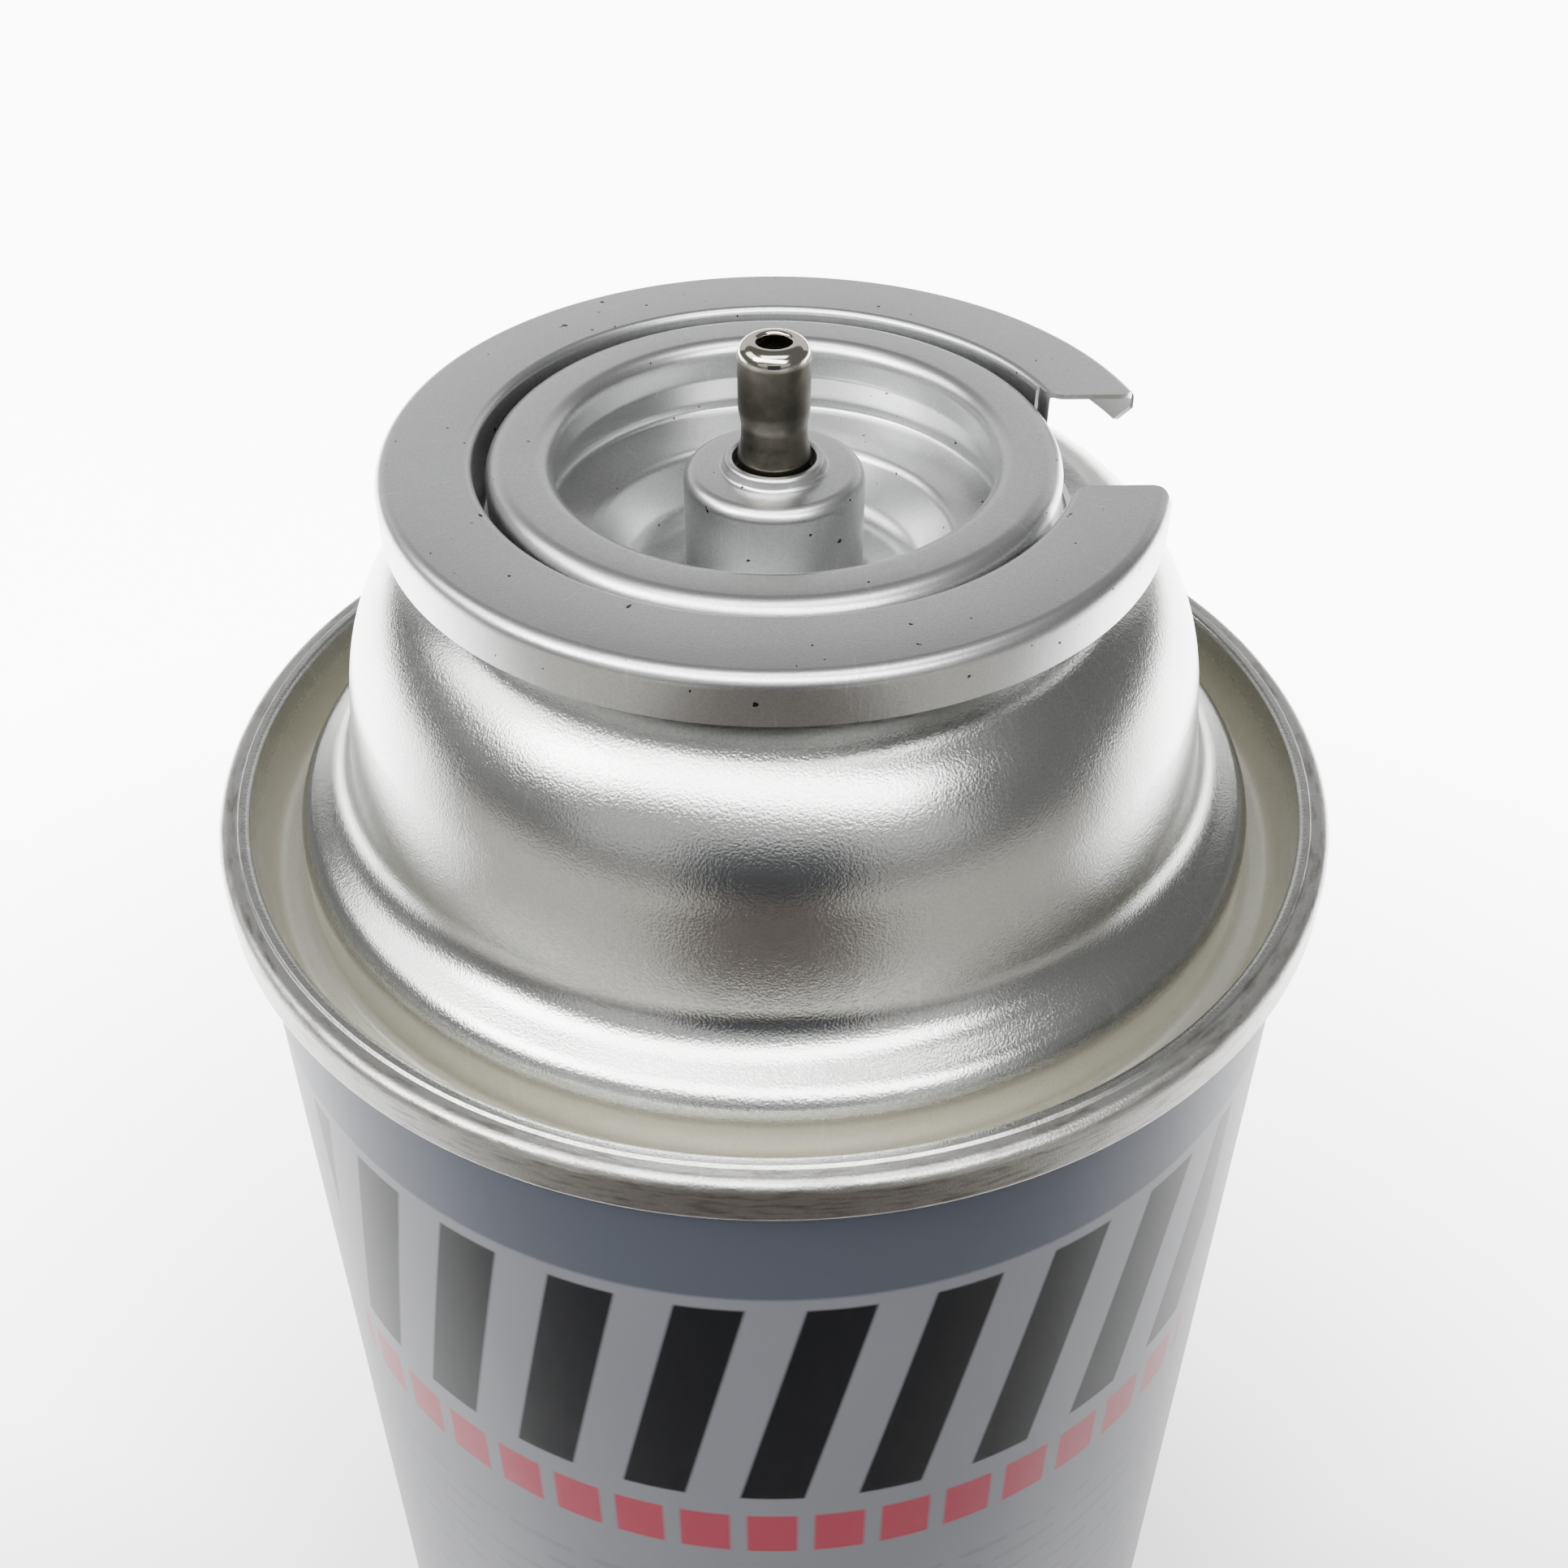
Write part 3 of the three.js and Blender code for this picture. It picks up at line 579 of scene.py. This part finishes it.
# Stem. The nozzle of the valve, turned from a warmer, darker nickelled metal, waisted above the lip
# and polished round its bored tip. It slides down through the gasket against its spring.
STEM_TIP = LIP + 6.9
WARM_NICKEL = "#625E56"
TARNISHED_NICKEL = "#4B4842"
POLISHED_NICKEL = "#BDB8AD"
STEM_RADIUS = 2.0
WAIST_RADIUS = 1.835
BORE_RADIUS = 0.95
SPIGOT_RADIUS = 1.35
SPIGOT_LENGTH = 2.3
STEM_SHOULDER = 2.95
STEM_SHOULDER_HEIGHT = 0.8
GASKET_THICKNESS = 1.2
TIP_POLISH = 0.6
gasket_foot = PLATEAU - SHEET - GASKET_THICKNESS
shoulder_foot = gasket_foot - STEM_SHOULDER_HEIGHT
stem_outline = rounded([
    (0, shoulder_foot - SPIGOT_LENGTH, 0),
    (SPIGOT_RADIUS, shoulder_foot - SPIGOT_LENGTH, 0.3),
    (SPIGOT_RADIUS, shoulder_foot, 0),
    (STEM_SHOULDER, shoulder_foot, 0.1),
    (STEM_SHOULDER, gasket_foot, 0.1),
    (STEM_RADIUS, gasket_foot, 0),
    (STEM_RADIUS, LIP - 0.5, 0),
    (STEM_RADIUS + 0.05, LIP + 0.1, 0.4),
    (WAIST_RADIUS, LIP + 1.2, 2.0),
    (WAIST_RADIUS, LIP + 2.1, 2.0),
    (STEM_RADIUS, LIP + 3.0, 2.0),
    (STEM_RADIUS, STEM_TIP, 0.8),
    (BORE_RADIUS, STEM_TIP, 0.2),
    (BORE_RADIUS, gasket_foot + 1, 0),
    (0, gasket_foot + 0.3, 0),
])
stem = turned("stem", stem_outline)

# Warm nickel with fine turning marks, tarnished in patches and bright at the polished tip.
nickelled = empty_material("nickelled_stem_metal")
stem_place = around(nickelled)
tool_marks = streaks(nickelled, stem_place, (0.0, 0.5, 7.0), 2.0)
tarnish = noise(nickelled, 0.5)
polished = between(nickelled, stem_place[2], STEM_TIP - TIP_POLISH - 0.4, STEM_TIP - TIP_POLISH)
stem_tone = mix(nickelled, between(nickelled, tarnish, 0.4, 0.65), WARM_NICKEL, TARNISHED_NICKEL)
stem_colour = mix(nickelled, polished, stem_tone, POLISHED_NICKEL)
stem_shine = between(nickelled, polished, 0.0, 1.0, 0.32, 0.12)
finished(nickelled, stem_colour, 1.0, stem_shine, tool_marks, 0.004)
stem.data.materials.append(nickelled)
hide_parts("valve_stem")
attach(stem, "stem")

# Inner pieces of the valve. The frame's own solids stay: two rubber seals, the moulded housing, the
# drawn spring and the vapour tube. Each gets its real finish.


def plain(name, colour, second, metallic, roughness, per_mm, depth):
    """A material with a cloudy second tone and a fine relief."""
    material = empty_material(name)
    cloud = noise(material, per_mm)
    tone = mix(material, between(material, cloud, 0.35, 0.65), colour, second)
    return finished(material, tone, metallic, roughness, cloud, depth)


INNER_FINISHES = {
    "cup_seal": plain("black_seal_rubber", "#26262A", "#313134", 0.0, 0.75, 1.5, 0.01),
    "stem_gasket": plain("dark_gasket_rubber", "#1E1E20", "#2B2B2D", 0.0, 0.7, 2.0, 0.01),
    "valve_housing": plain("natural_acetal", "#DDD9CC", "#D2CDBE", 0.0, 0.45, 0.6, 0.004),
    "stem_spring": plain("drawn_spring_steel", "#C0C1C3", "#A9AAAC", 1.0, 0.25, 3.0, 0.002),
    "vapour_tube": plain("drawn_aluminium", "#C9CBCD", "#B9BBBE", 1.0, 0.35, 1.0, 0.003),
}
for node, finish in INNER_FINISHES.items():
    nodes[node].data.materials.clear()
    nodes[node].data.materials.append(finish)

# Studio. A white table under broad soft panels, whose surface behind the can glows: painted glow,
# no lamp. The dome mirrors what stands in front of it: a grey mat and a brown card lying on it, which
# paint the shade and the shadow on the table in front, and a slate card standing behind.
TABLE_SIZE = 6.0
GLOW_FROM_ARC = (50, 66)
GLOW_REACH = (60, 260)
GLOW_STRENGTH = (0.5, 9.0)
ROOM_LIGHT = 0.2
bpy.ops.object.select_all(action="DESELECT")
bpy.ops.mesh.primitive_plane_add(size=TABLE_SIZE, location=(0, 0, 0))
table = bpy.context.object
table.name = "white_table"
table_paint = empty_material("white_table_with_painted_glow")
arc, reach, height = around(table_paint)
# Painted glow: the table itself emits light behind the can, though it is no lamp.
behind = between(table_paint, maths(table_paint, "ABSOLUTE", arc), *GLOW_FROM_ARC)
glow = all_of(table_paint, behind, between(table_paint, reach, *GLOW_REACH, *GLOW_STRENGTH))
lit = {"Emission Color": linear("#FFFFFF"), "Emission Strength": glow}
finished(table_paint, linear("#F6F6F6"), 0.0, 0.9, **lit)
table.data.materials.append(table_paint)

# The grey mat is a sheet of painted shade over the table in front of the can; the brown card lying on it
# is a painted shadow.
CARD_PLACES = {
    "painted_shade_mat": ((0, -1.05, 0.0005), (0, 0, 0), (4.0, 2.0, 1)),
    "painted_shadow_card": ((0, -0.36, 0.001), (0, 0, 0), (0.28, 0.62, 1)),
    "upright_card": ((0, -0.7, 0.18), (math.pi / 2, 0, 0), (0.5, 0.36, 1)),
}
# Grey and dark brown papers for the painted shade and shadow; slate for the standing card.
CARD_PAPERS = {
    "painted_shade_mat": plain("painted_shade_mat_paper", "#7D7B76", "#878580", 0.0, 0.9, 0.02, 0.0),
    "painted_shadow_card": plain("painted_shadow_card_paper", "#29221E", "#322A25", 0.0, 0.9, 0.02, 0.0),
    "upright_card": plain("slate_card_paper", "#181D25", "#1F242C", 0.0, 0.9, 0.02, 0.0),
}

# Each card is a sheet of plain paper: its place in metres, its turn and its size.
for card_name, (location, rotation, size) in CARD_PLACES.items():
    bpy.ops.object.select_all(action="DESELECT")
    bpy.ops.mesh.primitive_plane_add(size=1.0, location=location, rotation=rotation)
    card = bpy.context.object
    card.name = card_name
    card.scale = size
    bpy.ops.object.transform_apply(location=False, rotation=False, scale=True)
    card.data.materials.append(CARD_PAPERS[card_name])

world = bpy.data.worlds.new("studio_white")
bpy.context.scene.world = world
world.use_nodes = True
world.node_tree.nodes["Background"].inputs["Color"].default_value = linear("#FFFFFF")
world.node_tree.nodes["Background"].inputs["Strength"].default_value = ROOM_LIGHT

CAN_MOUTH = Vector((0, 0, 0.175))


def panel(name, azimuth, elevation, distance, size, power):
    """A soft rectangular light that faces the mouth of the can."""
    light = bpy.data.lights.new(name, "AREA")
    light.shape = "RECTANGLE"
    light.size, light.size_y = size
    light.energy = power
    lamp = bpy.data.objects.new(name, light)
    bpy.context.scene.collection.objects.link(lamp)
    around_z, up = math.radians(azimuth), math.radians(elevation)
    way = Vector((math.cos(around_z) * math.cos(up), math.sin(around_z) * math.cos(up), math.sin(up)))
    lamp.location = CAN_MOUTH + way * distance
    lamp.rotation_euler = way.to_track_quat("Z", "Y").to_euler()


panel("window_panel", -107, 50, 1.0, (2.1, 0.45), 42.0)
panel("left_panel", -172, 40, 1.2, (1.2, 0.5), 12.0)
panel("back_panel", 90, 21, 1.5, (3.4, 0.85), 9.0)
panel("front_panel", -90, 13, 1.6, (3.6, 0.75), 5.0)
panel("top_panel", -90, 80, 1.2, (1.2, 0.4), 14.0)

CAMERA_PLACE = (0.000587, -0.090671, 0.230692)
CAMERA_DROP = math.radians(39.84)
CAMERA_ROLL = math.radians(0.157)
CAMERA_LENS = 42.63
CAMERA_SENSOR = 36.0
CAMERA_CLIP = 0.005
camera_data = bpy.data.cameras.new("camera")
camera_data.sensor_width = CAMERA_SENSOR
camera_data.lens = CAMERA_LENS
camera_data.clip_start = CAMERA_CLIP
camera = bpy.data.objects.new("camera", camera_data)
bpy.context.scene.collection.objects.link(camera)
forward = Vector((0, math.cos(CAMERA_DROP), -math.sin(CAMERA_DROP)))
level_right = Vector((1, 0, 0))
level_up = level_right.cross(forward)
right = math.cos(CAMERA_ROLL) * level_right + math.sin(CAMERA_ROLL) * level_up
up = -math.sin(CAMERA_ROLL) * level_right + math.cos(CAMERA_ROLL) * level_up
facing = Matrix((right, up, -forward)).transposed().to_4x4()
camera.matrix_world = Matrix.Translation(CAMERA_PLACE) @ facing
bpy.context.scene.camera = camera
